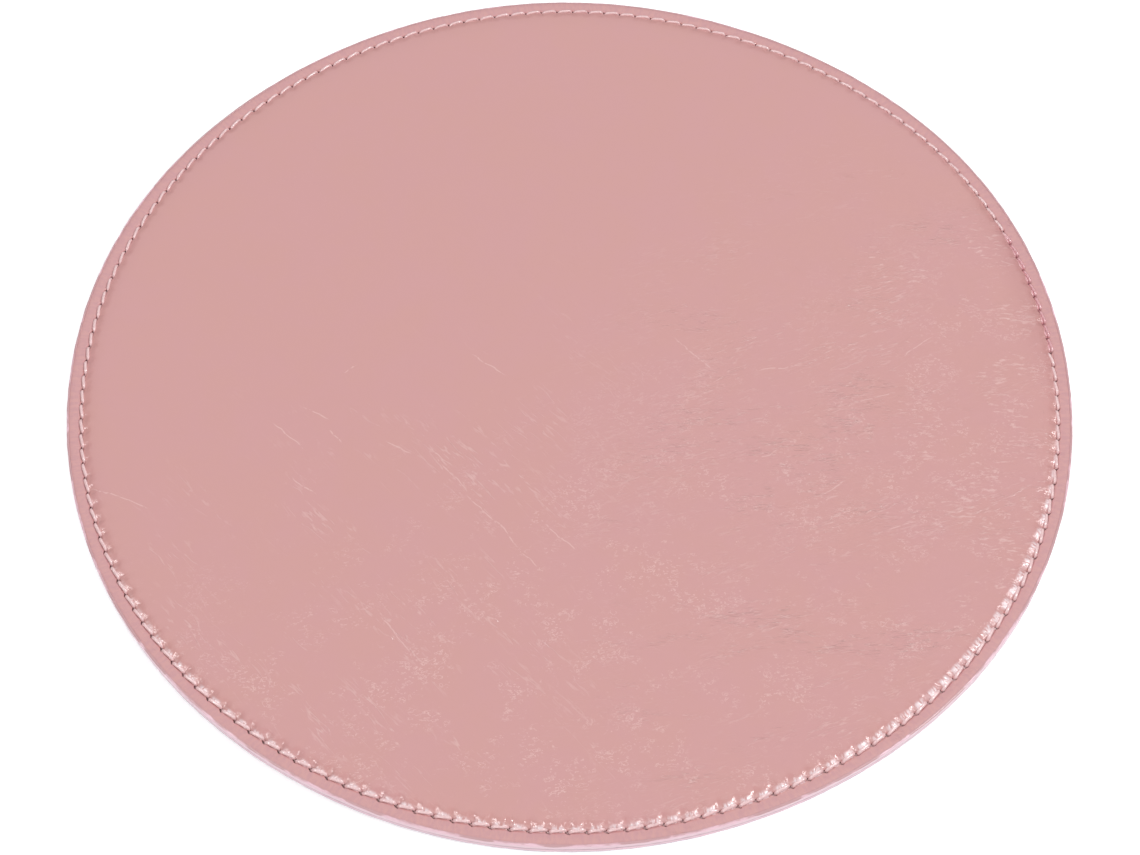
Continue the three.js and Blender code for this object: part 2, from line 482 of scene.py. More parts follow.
randomly = random.Random(PINCH_SEED)
stitch_pull = [randomly.uniform(*PINCH_RANGE) for _ in range(STITCHES)]


def blend(start, end, share):
    """The value that lies a share of the way from start to end."""
    return start + (end - start) * share


def bell(value, width):
    """1 at 0, falling away smoothly on both sides."""
    return math.exp(-((value / width) ** 2))


def around(turn, middle, span):
    """1 in the middle direction, fading to 0 over the span on each side."""
    return bell((turn - middle + math.pi) % (2 * math.pi) - math.pi, span)


def wrinkle(radius, turn, size):
    """Noise drawn out across the seam, as the gathers of a sewn edge are."""
    drawn = seam_circle + (radius - seam_circle) * WRINKLE_STRETCH
    return noise.noise(point_at(drawn, turn) / size)


def overlap_sink(turn):
    """The doubled thread at the end of the seam is pulled deeper into the cover."""
    stitch = (turn / stitch_angle - SEAM_START_STITCH + 1) % STITCHES - 1
    doubled = smooth_step(-0.5, 0.5, stitch) - smooth_step(-0.5, 0.5, stitch - OVERLAP_STITCHES)
    return OVERLAP_SINK * doubled


def puffed_height(radius, turn, across, near_hole, gathered):
    """Height of the puffed skin inside the seam, with its pinches and wrinkles."""
    full_drop = cover_high.z - rim_height
    drop = full_drop - LIP_RISE * gathered * (1 - near_hole)
    wide = around(turn, WIDE_PUFF_TURN, WIDE_PUFF_SPAN)
    reach = blend(blend(SMOOTH_PUFF_REACH, PUFF_REACH, gathered), WIDE_PUFF_REACH, wide)
    reach = reach * drop / full_drop
    power = blend(blend(SMOOTH_PUFF_POWER, PUFF_POWER, gathered), WIDE_PUFF_POWER, wide)
    height = cover_high.z - drop * math.exp(-((-across / reach) ** power))
    pinch = near_hole**2 * stitch_pull[stitch_place(turn)[0]]
    height -= PINCH_DEPTH * pinch * bell(across + PINCH_INSET, PINCH_WIDTH)
    crinkle = wrinkle(radius, turn, WRINKLE_SIZE)
    crinkle += BROAD_WRINKLE_SHARE * wrinkle(radius, turn, BROAD_WRINKLE_SCALE * WRINKLE_SIZE)
    return height + WRINKLE_HEIGHT * crinkle * bell(across + WRINKLE_INSET, WRINKLE_WIDTH)


def skin_height(radius, turn):
    """Height of the cover's skin, from the middle of the field out over the seam to the border."""
    along = stitch_place(turn)[1]
    across = radius - seam_radius(turn)
    near_hole = 0.5 + 0.5 * math.cos(2 * math.pi * along / stitch_length)
    gathered = around(turn, GATHER_TURN, GATHER_SPAN)
    if across < 0:
        height = puffed_height(radius, turn, across, near_hole, gathered)
        covered = LIP_OVERHANG * gathered * (1 - near_hole)
        wall = (LIP_INSET + LIP_SWING * (2 * near_hole - 1)) * (1 - covered)
    else:
        height = rim_height - BORDER_DIP * max(0, 1 - across / BORDER_DIP_REACH)
        wall = CHANNEL_OUTER - BORDER_SCALLOP * near_hole
    floor = rim_height - CHANNEL_DEPTH - overlap_sink(turn)
    height += (floor - height) * (1 - smooth_step(CHANNEL_FLOOR_SHARE, 1, abs(across) / wall))
    height -= blend(FAR_PIT_DEPTH, NEAR_PIT_DEPTH, gathered) * pit_share(along, across)
    ripple = noise.noise(point_at(radius, turn) / FIELD_WAVE_LENGTH)
    return height + FIELD_WAVE * ripple * smooth_step(0, FIELD_WAVE_FADE, skin_inner - radius)


finer_from = field_radius - SHOULDER_RINGS_INSET
skin_rings = rings(0, finer_from, FIELD_RINGS) + rings(finer_from, skin_inner, SHOULDER_RINGS)
skin_rings += rings(skin_inner, skin_outer, SKIN_BAND_RINGS) + [skin_outer, ply_radius - COVER_EDGE_ROUND]
corner = COVER_CORNER_SHARE * COVER_EDGE_ROUND
cover_profile = [(radius, rim_height) for radius in skin_rings]
cover_profile += [(ply_radius - corner, rim_height - corner)]
cover_profile += [(ply_radius, rim_height - COVER_EDGE_ROUND), (ply_radius, base_high.z)]
for radius in rings(bend_radius, field_radius, COVER_UNDER_RINGS) + [field_radius]:
    cover_profile.append((radius, film_high.z - shoulder_drop(radius)))
cover_profile.append((0, film_high.z))

bm = turned(cover_profile, STITCHES * COLUMNS_PER_STITCH)
refine_band(bm, skin_inner, skin_outer, rim_height)
crowd_columns(bm)
follow_cut(bm)
for vert in bm.verts:
    radius, turn = polar(vert.co)
    if vert.co.z > rim_height - SAME_LEVEL and radius < ply_radius - 0.5 * COVER_EDGE_ROUND:
        vert.co.z = skin_height(radius, turn)

# The skin's tones: a faint mottle, lighter creases (partly stress whitening, partly painted highlight), a
# painted highlight on the gathers, painted shade on the right shoulder and in the needle holes, and a
# streaked border outside the seam
COVER_COLOUR = (0.664, 0.339, 0.320, 1)
COVER_ROSE_COLOUR = (0.664, 0.337, 0.334, 1)
CREASE_WHITENING_AND_HIGHLIGHT_COLOUR = (0.86, 0.58, 0.56, 1)
# Painted highlight on the gathers inside the seam
GATHER_GLINT_COLOUR = (0.94, 0.76, 0.79, 1)
# Painted shade on the right shoulder inside the seam
SHOULDER_SHADE_COLOUR = (0.55, 0.255, 0.25, 1)
BORDER_COLOUR = (0.690, 0.368, 0.358, 1)
BORDER_MAUVE_COLOUR = (0.640, 0.334, 0.350, 1)
# Painted shade in the needle holes
HOLE_SHADE_COLOUR = (0.10, 0.022, 0.03, 1)
COVER_ROUGHNESS = 0.22
COVER_SPECULAR = 0.8
BORDER_ROUGHNESS = 0.5
MOTTLE_MM = 14
MOTTLE_LEVELS = (0.3, 0.7)
GRAIN_MM = 0.45

# Fine creases from rolling: they thicken one way over the field, and run in patches of broken lines
ROLLED_WAY = (0.45, -0.8)
ROLLED_MM = (-40, 15)
LEFT_PART_MM = (-25, 30)
RIGHT_PART_MM = (-20, 40)
CREASE_LINES = 4
CREASE_THINNESS = 0.18
DASH_MM = 1.1
DASH_STRETCH = 0.4
DASH_LEVELS = (0.44, 0.58)
PATCH_MM = 9
PATCH_STRETCH = 0.35
PATCH_LEVELS = (0.48, 0.66)
CREASE_STRENGTH = 0.55

# Curls: short bent hairlines in clumps, where the field was rolled most, drawn in colour only as lighter
# lines, partly stress whitening and partly painted highlight
CURL_MM = 1.7
CURL_LIE = math.radians(20)
CURL_STRETCH = 0.6
CURL_LINES = 5
CURL_THINNESS = 0.13
CURL_STRENGTH = 0.6
CURLED_MM = (-15, 45)
CLUMP_MM = 9
CLUMP_LEVELS = (0.48, 0.62)

# Streaks: fine level lines on the right of the field
STREAK_MM = 0.65
STREAK_LIE = math.radians(6)
STREAK_STRETCH = 0.22
STREAK_LEVELS = (0.53, 0.65)
STREAK_STRENGTH = 0.5
STREAKED_X_MM = (10, 80)
STREAKED_Y_MM = (75, 35)
STREAK_PATCH_MM = 11
STREAK_PATCH_LEVELS = (0.4, 0.6)
STREAK_PATCH_LEAST = 0.15

# The longest creases, read off the picture from end to end in its pixels; drawn in colour only as lighter
# lines, partly stress whitening and partly painted highlight
CREASE_WIDTH_MM = 0.2
CREASE_RUN_OUT_MM = 0.3
CREASE_TAPER = 0.55
CREASE_WOBBLE_MM = 4
CREASE_WOBBLE_REACH = 1.6
CREASE_BREAK_MM = 0.9
CREASE_BREAK_LEVELS = (0.35, 0.5)
CREASES_SEEN = (
    ((428, 445), (447, 464)), ((434, 456), (470, 493)), ((466, 494), (496, 522)), ((494, 519), (520, 548)),
    ((522, 553), (537, 567)), ((545, 524), (562, 539)), ((558, 535), (577, 549)), ((302, 406), (329, 420)),
    ((272, 422), (306, 450)), ((328, 430), (341, 442)), ((292, 477), (316, 494)), ((90, 488), (120, 497)),
    ((118, 497), (148, 508)), ((344, 372), (356, 365)), ((471, 354), (506, 376)), ((384, 441), (412, 454)),
    ((672, 337), (716, 373)), ((756, 370), (802, 365)), ((754, 462), (779, 450)), ((821, 496), (846, 481)),
    ((820, 502), (838, 496)), ((850, 403), (895, 393)), ((887, 531), (918, 521)), ((998, 313), (1041, 316)),
    ((996, 318), (1038, 321)), ((997, 259), (1016, 264)), ((902, 357), (932, 337)), ((380, 615), (412, 655)),
)

# Marks round the seam. IN and OUT say where one fades in or out, in millimetres past the sewn line
GATHER_MM = 0.55
GATHER_STRETCH = 0.35
GATHER_IN = (-3, -0.8)
GATHER_OUT = (0, 0.3)
# The glint on the gathers is a painted highlight, strongest between the holes on the near side and reaching
# furthest in on the near right
GATHER_GLINT_IN = (-1.05, -0.25)
GATHER_GLINT_LEVELS = (0.36, 0.56)
GATHER_GLINT_HOLE = (-0.3, 0.9)
GATHER_GLINT_LEAST = 0.2
GATHER_GLINT_STRENGTH = 0.95
GATHERED_WAY = (0.25, -1)
GATHERED_MM = (10, 60)
BRIGHTEST_GLINT_WAY = (0.62, -0.78)
BRIGHTEST_GLINT_MM = (80, 106)
BRIGHTEST_GLINT_REACH_MM = 0.6
# Where painted shade darkens the right shoulder
SHADED_SHOULDER_IN = (-8.75, 0)
SHADED_SHOULDER_X_MM = (88, 102)
SHADED_SHOULDER_Y_MM = (-8, 16)
SHOULDER_SHADE_STRENGTH = 0.45
BORDER_IN = (0.1, 0.7)
BORDER_DULL_IN = (0.1, 0.8)
BORDER_STREAK_MM = 0.8
BORDER_STREAK_LEVELS = (0.35, 0.65)
HOLE_IN = (-1.4, -1.2)
HOLE_OUT = (1.2, 1.4)
HOLE_DEPTHS_MM = (-0.66, -0.45)

# Relief of the skin: the shares of its grain, gathers and streaks beside the creases
SKIN_RELIEF_MM = 0.06
GRAIN_RELIEF = 0.12
GATHER_RELIEF = 2.2
STREAK_RELIEF = 2.2

cover_finish = Finish("leatherette_finish", COVER_ROUGHNESS, COVER_SPECULAR)
skin_place = cover_finish.place
skin_x, skin_y, skin_z = cover_finish.split(skin_place)
skin_flat = cover_finish.vector_math("MULTIPLY", skin_place, (1, 1, 0))
skin_radius = cover_finish.vector_math("LENGTH", skin_flat)
seam_mm = seam_circle / MM
rim_mm = rim_height / MM


def field_spot(pixel):
    """Where the sight line through a pixel of the picture meets the field, in millimetres."""
    pixel_size = SENSOR_MM / (LENS_MM * PICTURE_WIDTH)
    right = (pixel[0] - PICTURE_WIDTH / 2) * pixel_size
    up = (PICTURE_HEIGHT / 2 - pixel[1]) * pixel_size
    sight = eye_axes @ Vector((right, up, -1))
    return (eye_place + sight * ((cover_high.z - eye_place.z) / sight.z)) / MM


def way_along(right, back):
    """How far a spot of the skin lies in one direction, in millimetres."""
    return cover_finish.math("ADD", cover_finish.product(skin_x, right), cover_finish.product(skin_y, back))


def from_seam(start, end, *levels):
    """A change between two distances outwards from the sewn line, in millimetres."""
    return cover_finish.ramp(skin_radius, seam_mm + start, seam_mm + end, *levels)


def contour_lines(heights, count, thinness):
    """Thin lines where a noise passes one of several even heights."""
    folded = cover_finish.math("PINGPONG", cover_finish.product(heights, count), 0.5)
    return cover_finish.ramp(folded, 0, thinness, 1, 0)


def crease_lines(part, lie, along, across, shift, strength):
    """Broken hair-fine lines that run about one way, in patches, over one part of the field."""
    turned_place = cover_finish.mapped(skin_place, (*shift, 0), math.radians(lie))
    drawn = cover_finish.mapped(turned_place, scale=(1 / along, 1 / across, 1))
    dashes = cover_finish.mapped(turned_place, scale=(DASH_STRETCH, 1, 1))
    patches = cover_finish.mapped(turned_place, scale=(PATCH_STRETCH, 1, 1))
    return cover_finish.product(
        contour_lines(cover_finish.noise(drawn, 1), CREASE_LINES, CREASE_THINNESS),
        cover_finish.ramp(cover_finish.noise(dashes, DASH_MM), *DASH_LEVELS),
        cover_finish.ramp(cover_finish.noise(patches, PATCH_MM, detail=3, roughness=0.6), *PATCH_LEVELS),
        part,
        strength,
    )


def seen_crease(warped, start, end):
    """One crease from the picture, as a tapering line on the warped field."""
    start, end = field_spot(start), field_spot(end)
    run = end - start
    middle = (start + end) / 2
    half_size = (run.length / 2 + CREASE_RUN_OUT_MM, CREASE_WIDTH_MM, 1)
    local = cover_finish.mapped(
        warped, (middle.x, middle.y, 0), math.atan2(run.y, run.x), half_size, kind="TEXTURE"
    )
    lengthways, sideways, _ = cover_finish.split(cover_finish.vector_math("ABSOLUTE", local))
    return cover_finish.product(
        cover_finish.ramp(lengthways, CREASE_TAPER, 1, 1, 0), cover_finish.ramp(sideways, 0, 1, 1, 0)
    )


left_part = cover_finish.ramp(skin_x, *LEFT_PART_MM, 1, 0)
right_part = cover_finish.ramp(skin_x, *RIGHT_PART_MM)
rolled_way = way_along(*ROLLED_WAY)
creases = cover_finish.greatest(
    crease_lines(left_part, lie=-46, along=10, across=1.8, shift=(3, 2.1), strength=0.7),
    crease_lines(right_part, lie=20, along=7, across=1.1, shift=(8, 5.6), strength=0.6),
    crease_lines(right_part, lie=5, along=5, across=0.6, shift=(21, 14.7), strength=0.8),
)
creases = cover_finish.product(creases, cover_finish.ramp(rolled_way, *ROLLED_MM))

clumps = cover_finish.noise(skin_place, CLUMP_MM, detail=4, roughness=0.7)
curls = cover_finish.mapped(skin_place, lie=CURL_LIE, scale=(CURL_STRETCH, 1, 1))
curls = cover_finish.noise(curls, CURL_MM, detail=3, roughness=0.7)
curls = cover_finish.product(
    contour_lines(curls, CURL_LINES, CURL_THINNESS),
    cover_finish.ramp(clumps, *CLUMP_LEVELS),
    cover_finish.ramp(rolled_way, *CURLED_MM),
)

wobble = cover_finish.noise(skin_place, CREASE_WOBBLE_MM, output="Color")
wobble = cover_finish.vector_math("SUBTRACT", wobble, (0.5, 0.5, 0.5))
warped_place = cover_finish.vector_math(
    "ADD", skin_place, cover_finish.scaled(wobble, CREASE_WOBBLE_REACH)
)
seen = 0.0
for ends in CREASES_SEEN:
    seen = cover_finish.greatest(seen, seen_crease(warped_place, *ends))
seen_breaks = cover_finish.noise(skin_place, CREASE_BREAK_MM)
seen = cover_finish.product(seen, cover_finish.ramp(seen_breaks, *CREASE_BREAK_LEVELS))

streak_patches = cover_finish.noise(skin_place, STREAK_PATCH_MM, detail=3, roughness=0.6)
streaks = cover_finish.mapped(warped_place, lie=STREAK_LIE, scale=(STREAK_STRETCH, 1, 1))
streaks = cover_finish.product(
    cover_finish.noise(streaks, STREAK_MM, detail=3, roughness=0.65),
    cover_finish.ramp(skin_x, *STREAKED_X_MM),
    cover_finish.ramp(skin_y, *STREAKED_Y_MM),
    cover_finish.ramp(streak_patches, *STREAK_PATCH_LEVELS, STREAK_PATCH_LEAST, 1),
)

drawn_radius = cover_finish.math(
    "MULTIPLY_ADD", skin_radius, GATHER_STRETCH, (1 - GATHER_STRETCH) * seam_mm
)
drawn_place = cover_finish.scaled(cover_finish.vector_math("NORMALIZE", skin_flat), drawn_radius)
gather_noise = cover_finish.noise(drawn_place, GATHER_MM, detail=3, roughness=0.6)
gather_zone = cover_finish.product(from_seam(*GATHER_IN), from_seam(*GATHER_OUT, 1, 0))
brightest_glint_part = cover_finish.ramp(way_along(*BRIGHTEST_GLINT_WAY), *BRIGHTEST_GLINT_MM)
glint_reach = cover_finish.math("MULTIPLY_ADD", brightest_glint_part, BRIGHTEST_GLINT_REACH_MM, skin_radius)
skin_turn = cover_finish.math("ARCTAN2", skin_y, skin_x)
near_hole = cover_finish.math("COSINE", cover_finish.product(skin_turn, STITCHES))
# Painted highlight: a near-white glint on the gathers inside the seam
painted_gather_glint = cover_finish.product(
    cover_finish.ramp(gather_noise, *GATHER_GLINT_LEVELS),
    cover_finish.ramp(glint_reach, *(seam_mm + distance for distance in GATHER_GLINT_IN)),
    cover_finish.ramp(near_hole, *GATHER_GLINT_HOLE, 1, GATHER_GLINT_LEAST),
    gather_zone,
    cover_finish.ramp(way_along(*GATHERED_WAY), *GATHERED_MM),
    GATHER_GLINT_STRENGTH,
)
# Painted shade: the right shoulder inside the seam is darkened
painted_shoulder_shade = cover_finish.product(
    from_seam(*SHADED_SHOULDER_IN),
    cover_finish.ramp(skin_x, *SHADED_SHOULDER_X_MM),
    cover_finish.ramp(skin_y, *SHADED_SHOULDER_Y_MM),
    SHOULDER_SHADE_STRENGTH,
)
# Painted shade: the needle holes darken towards their bottoms
painted_hole_shade = cover_finish.product(
    cover_finish.ramp(skin_z, *(rim_mm + depth for depth in HOLE_DEPTHS_MM), 1, 0),
    from_seam(*HOLE_IN),
    from_seam(*HOLE_OUT, 1, 0),
)

mottle = cover_finish.noise(skin_place, MOTTLE_MM, detail=4, roughness=0.65)
mottle = cover_finish.ramp(mottle, *MOTTLE_LEVELS)
# Lighter creases, curls and streaks: partly stress whitening of the skin, partly painted highlight
crease_whitening_and_highlight = cover_finish.product(cover_finish.greatest(creases, seen), CREASE_STRENGTH)
fine_whitening_and_highlight = cover_finish.greatest(
    cover_finish.product(curls, CURL_STRENGTH),
    cover_finish.product(cover_finish.ramp(streaks, *STREAK_LEVELS), STREAK_STRENGTH),
)
border_streaks = cover_finish.noise(drawn_place, BORDER_STREAK_MM, detail=3, roughness=0.7)
border_streaks = cover_finish.ramp(border_streaks, *BORDER_STREAK_LEVELS)
border_colour = cover_finish.mix(border_streaks, BORDER_COLOUR, BORDER_MAUVE_COLOUR)
cover_colour = cover_finish.mix(mottle, COVER_COLOUR, COVER_ROSE_COLOUR)
for share, colour in (
    (crease_whitening_and_highlight, CREASE_WHITENING_AND_HIGHLIGHT_COLOUR),
    (fine_whitening_and_highlight, CREASE_WHITENING_AND_HIGHLIGHT_COLOUR),
    (painted_shoulder_shade, SHOULDER_SHADE_COLOUR),
    (painted_gather_glint, GATHER_GLINT_COLOUR),
    (from_seam(*BORDER_IN), border_colour),
    (painted_hole_shade, HOLE_SHADE_COLOUR),
):
    cover_colour = cover_finish.mix(share, cover_colour, colour)
cover_finish.colour(cover_colour)
cover_finish.link(
    from_seam(*BORDER_DULL_IN, COVER_ROUGHNESS, BORDER_ROUGHNESS),
    cover_finish.shader.inputs["Roughness"],
)
relief = creases
for share, marks in (
    (GRAIN_RELIEF, cover_finish.noise(skin_place, GRAIN_MM, detail=3, roughness=0.6)),
    (GATHER_RELIEF, cover_finish.product(gather_noise, gather_zone)),
    (STREAK_RELIEF, streaks),
):
    relief = cover_finish.math("ADD", relief, cover_finish.product(marks, share))
cover_finish.bump(relief, SKIN_RELIEF_MM)

cover = new_piece("leatherette_cover", bm, cover_finish.material, "cover_leather", "top_cover")

# Sewing thread: bonded polyester, three plies twisted together. The needle thread shows as one
# slanting stitch from each hole to the next. For nine stitches its end overlaps its start, and there
# its colour is darkened, a painted shade. The bobbin thread lies in the channel underneath.
NEEDLE_THREAD_RADIUS = 0.37 * MM
BOBBIN_THREAD_RADIUS = 0.24 * MM
THREAD_PLIES = 3
PLY_RELIEF = 0.09
TWISTS_PER_STITCH = 2
STEPS_PER_STITCH = 24
STEP_CROWDING = 0.7
STITCH_SLANT = 0.27 * MM
THREAD_LEAN = 0.17 * MM
THREAD_PROUD = 0.04 * MM
LEG_SPREAD = 0.42 * MM
LEG_WIDTH = 0.15 * MM
LEG_BEND = 0.8 * MM
LEG_STEP_SHARE = 0.45
OVERLAP_OFFSET = 0.36 * MM
NEEDLE_LOCK_RISE = 0.4 * MM
BOBBIN_LOCK_DROP = 0.45 * MM
BOBBIN_DESK_GAP = 0.02 * MM
THREAD_COLOUR = (0.97, 0.71, 0.71, 1)
THREAD_SHADE_COLOUR = (0.88, 0.57, 0.58, 1)
THREAD_DOUBLED_SHADE_COLOUR = (0.78, 0.40, 0.43, 1)
THREAD_FIBRE_MM = 0.35
THREAD_FIBRE_LEVELS = (0.3, 0.7)
THREAD_RELIEF_MM = 0.05
DOUBLED_X_MM = (80, 90)
DOUBLED_Y_IN_MM = (6, 9)
DOUBLED_Y_OUT_MM = (38, 42)

thread_finish = Finish(
    "sewing_thread_finish", roughness=0.25, specular=1.0, coat_weight=0.6, coat_roughness=0.2
)
thread_fibre = thread_finish.noise(thread_finish.place, THREAD_FIBRE_MM, detail=3, roughness=0.6)
thread_colour = thread_finish.ramp(thread_fibre, *THREAD_FIBRE_LEVELS)
thread_colour = thread_finish.mix(thread_colour, THREAD_SHADE_COLOUR, THREAD_COLOUR)
thread_x, thread_y, _ = thread_finish.split(thread_finish.place)
# Painted shade on the doubled end of the needle thread
painted_doubled_shade = thread_finish.product(
    thread_finish.ramp(thread_x, *DOUBLED_X_MM),
    thread_finish.ramp(thread_y, *DOUBLED_Y_IN_MM),
    thread_finish.ramp(thread_y, *DOUBLED_Y_OUT_MM, 1, 0),
)
thread_finish.colour(thread_finish.mix(painted_doubled_shade, thread_colour, THREAD_DOUBLED_SHADE_COLOUR))
thread_finish.bump(thread_fibre, THREAD_RELIEF_MM)


def ply_section(name, radius):
    """The outline of the twisted plies, a closed curve to sweep along the thread's path."""
    sides = 4 * THREAD_PLIES
    data = bpy.data.curves.new(name, "CURVE")
    line = data.splines.new("POLY")
    line.points.add(sides - 1)
    line.use_cyclic_u = True
    for side, point in enumerate(line.points):
        turn = 2 * math.pi * side / sides
        reach = radius * (1 + PLY_RELIEF * math.cos(THREAD_PLIES * turn))
        point.co = (*point_at(reach, turn), 1)
    section = bpy.data.objects.new(name, data)
    bpy.context.scene.collection.objects.link(section)
    return section


def sewn(name, path, radius):
    """A twisted thread along the path, as a bmesh."""
    data = bpy.data.curves.new(name, "CURVE")
    data.dimensions = "3D"
    data.twist_mode = "Z_UP"
    line = data.splines.new("POLY")
    line.points.add(len(path) - 1)
    for step, (point, place) in enumerate(zip(line.points, path)):
        point.co = (*place, 1)
        point.tilt = 2 * math.pi * TWISTS_PER_STITCH * step / STEPS_PER_STITCH
    section = ply_section(name + "_section", radius)
    data.bevel_mode = "OBJECT"
    data.bevel_object = section
    data.use_fill_caps = True
    curve = bpy.data.objects.new(name + "_path", data)
    bpy.context.scene.collection.objects.link(curve)
    graph = bpy.context.evaluated_depsgraph_get()
    mesh = bpy.data.meshes.new_from_object(curve.evaluated_get(graph))
    bpy.data.objects.remove(curve)
    bpy.data.objects.remove(section)
    bm = bmesh.new()
    bm.from_mesh(mesh)
    bpy.data.meshes.remove(mesh)
    bmesh.ops.remove_doubles(bm, verts=bm.verts, dist=SAME_POINT)
    return bm


def leg_lift(from_hole):
    """0 at the bottom of the needle hole, 1 on the run, with a tight round bend where it comes up."""
    share = min(max((from_hole - LEG_SPREAD) / LEG_BEND, 0), 1)
    rise = smooth_step(LEG_SPREAD - LEG_WIDTH, LEG_SPREAD, from_hole)
    return LEG_STEP_SHARE * rise + (1 - LEG_STEP_SHARE) * math.sqrt(1 - (1 - share) ** 2)


def thread_path(run_height, lock_height, stitches, slant):
    """Points from hole to hole, crowded where the thread dives, with the overlap laid side by side."""
    path = []
    overlapping = stitches > STITCHES
    for step in range(stitches * STEPS_PER_STITCH + 1):
        share = step / STEPS_PER_STITCH
        share -= STEP_CROWDING / (2 * math.pi) * math.sin(2 * math.pi * share)
        within = share - math.floor(share)
        turn = (SEAM_START_STITCH + share) * stitch_angle
        from_hole = min(within, 1 - within) * stitch_length
        lean = THREAD_LEAN * around(turn, GATHER_TURN, GATHER_SPAN)
        sideways = (slant * (1 - 2 * within) - lean) * smooth_step(0, LEG_SPREAD, from_hole)
        if overlapping:
            doubled = smooth_step(0, 1, OVERLAP_STITCHES - share) - smooth_step(0, 1, share - STITCHES + 1)
            sideways += OVERLAP_OFFSET * doubled
        top = run_height - overlap_sink(turn) if overlapping else run_height
        height = lock_height + (top - lock_height) * leg_lift(from_hole)
        path.append(point_at(seam_radius(turn) + sideways, turn, height))
    return path


needle_run = rim_height - CHANNEL_DEPTH + NEEDLE_THREAD_RADIUS + THREAD_PROUD
needle_lock = base_high.z + NEEDLE_LOCK_RISE
needle_path = thread_path(needle_run, needle_lock, STITCHES + OVERLAP_STITCHES, STITCH_SLANT)
needle_bm = sewn("needle_seam", needle_path, NEEDLE_THREAD_RADIUS)
new_piece("needle_seam", needle_bm, thread_finish.material, "sewing_thread", "needle_thread")

bobbin_run = BOBBIN_THREAD_RADIUS * (1 + PLY_RELIEF) + BOBBIN_DESK_GAP
bobbin_lock = base_high.z - BOBBIN_LOCK_DROP
bobbin_path = thread_path(bobbin_run, bobbin_lock, STITCHES, 0)
bobbin_bm = sewn("bobbin_seam", bobbin_path, BOBBIN_THREAD_RADIUS)
new_piece("bobbin_seam", bobbin_bm, thread_finish.material, "sewing_thread", "bobbin_thread")

# Edge paint: two or three coats of flexible paint over the cut edges of both plies. It is thin at
# the rounded upper corner, where the leather's colour comes through unevenly, it sinks along the
# line where the plies meet, and its runs make it a little uneven all round.
PAINT_ROUND = 0.35 * MM
PAINT_LIP = 0.08 * MM
PAINT_FILM = 0.02 * MM
PAINT_LIP_DEPTH = 0.03 * MM
PAINT_BITE = 0.05 * MM
PAINT_BITE_DEPTH = 0.35 * MM
PLY_LINE_DEPTH = 0.12 * MM
PLY_LINE_WIDTH = 0.15 * MM
PAINT_WAVE = 0.07 * MM
PAINT_WAVE_LENGTH = 4 * MM
PAINT_RIPPLE_LENGTH = 1.2 * MM
PAINT_RIPPLE_SHARE = 0.6
PAINT_WAVE_SINK = 0.8
PAINT_RUN_FLATNESS = 3
PAINT_COLUMNS = 1056
PAINT_BASE_RINGS = 9
PAINT_COVER_RINGS = 10
PAINT_COLOUR = (0.94, 0.63, 0.72, 1)
PAINT_CORNER_COLOUR = (0.64, 0.37, 0.39, 1)
PAINT_LINE_COLOUR = (0.62, 0.41, 0.48, 1)
PAINT_FOOT_COLOUR = (0.68, 0.56, 0.66, 1)
PAINT_CORNER_MM = (2.70, 2.90)
PAINT_LINE_MM = (0.05, 0.28)
PAINT_FOOT_MM = (0.35, 0.8)
PAINT_STREAK_MM = 1.0
PAINT_STREAK_SCALE = (0.3, 0.3, 2.5)
PAINT_STREAK_RISE_MM = 0.6
PAINT_PATCH_MM = 9
PAINT_PATCH_LEVELS = (0.45, 0.55)
PAINT_PATCH_RISE_MM = 0.12
PAINT_RELIEF_MM = 0.04

paint_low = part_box("edge_paint")[0]
paint_finish = Finish("edge_paint_finish", roughness=0.35, coat_weight=0.7, coat_roughness=0.25)
paint_streak = paint_finish.mapped(paint_finish.place, scale=PAINT_STREAK_SCALE)
paint_streak = paint_finish.noise(paint_streak, PAINT_STREAK_MM, detail=3, roughness=0.6)
paint_patch = paint_finish.noise(paint_finish.place, PAINT_PATCH_MM)
paint_patch = paint_finish.ramp(
    paint_patch, *PAINT_PATCH_LEVELS, -PAINT_PATCH_RISE_MM, PAINT_PATCH_RISE_MM
)
paint_uneven = paint_finish.math("SUBTRACT", paint_streak, 0.5)
paint_uneven = paint_finish.product(paint_uneven, PAINT_STREAK_RISE_MM)
paint_uneven = paint_finish.math("ADD", paint_patch, paint_uneven)
paint_level = paint_finish.split(paint_finish.place)[2]
paint_corner = paint_finish.math("ADD", paint_level, paint_uneven)
from_line = paint_finish.math("SUBTRACT", paint_level, base_high.z / MM)
from_line = paint_finish.math("ABSOLUTE", from_line)
paint_foot = paint_finish.math("ADD", paint_level, paint_patch)
paint_colour = PAINT_COLOUR
for share, colour in (
    (paint_finish.ramp(paint_corner, *PAINT_CORNER_MM), PAINT_CORNER_COLOUR),
    (paint_finish.ramp(from_line, *PAINT_LINE_MM, 1, 0), PAINT_LINE_COLOUR),
    (paint_finish.ramp(paint_foot, *PAINT_FOOT_MM, 1, 0), PAINT_FOOT_COLOUR),
):
    paint_colour = paint_finish.mix(share, paint_colour, colour)
paint_finish.colour(paint_colour)
paint_finish.bump(paint_streak, PAINT_RELIEF_MM)

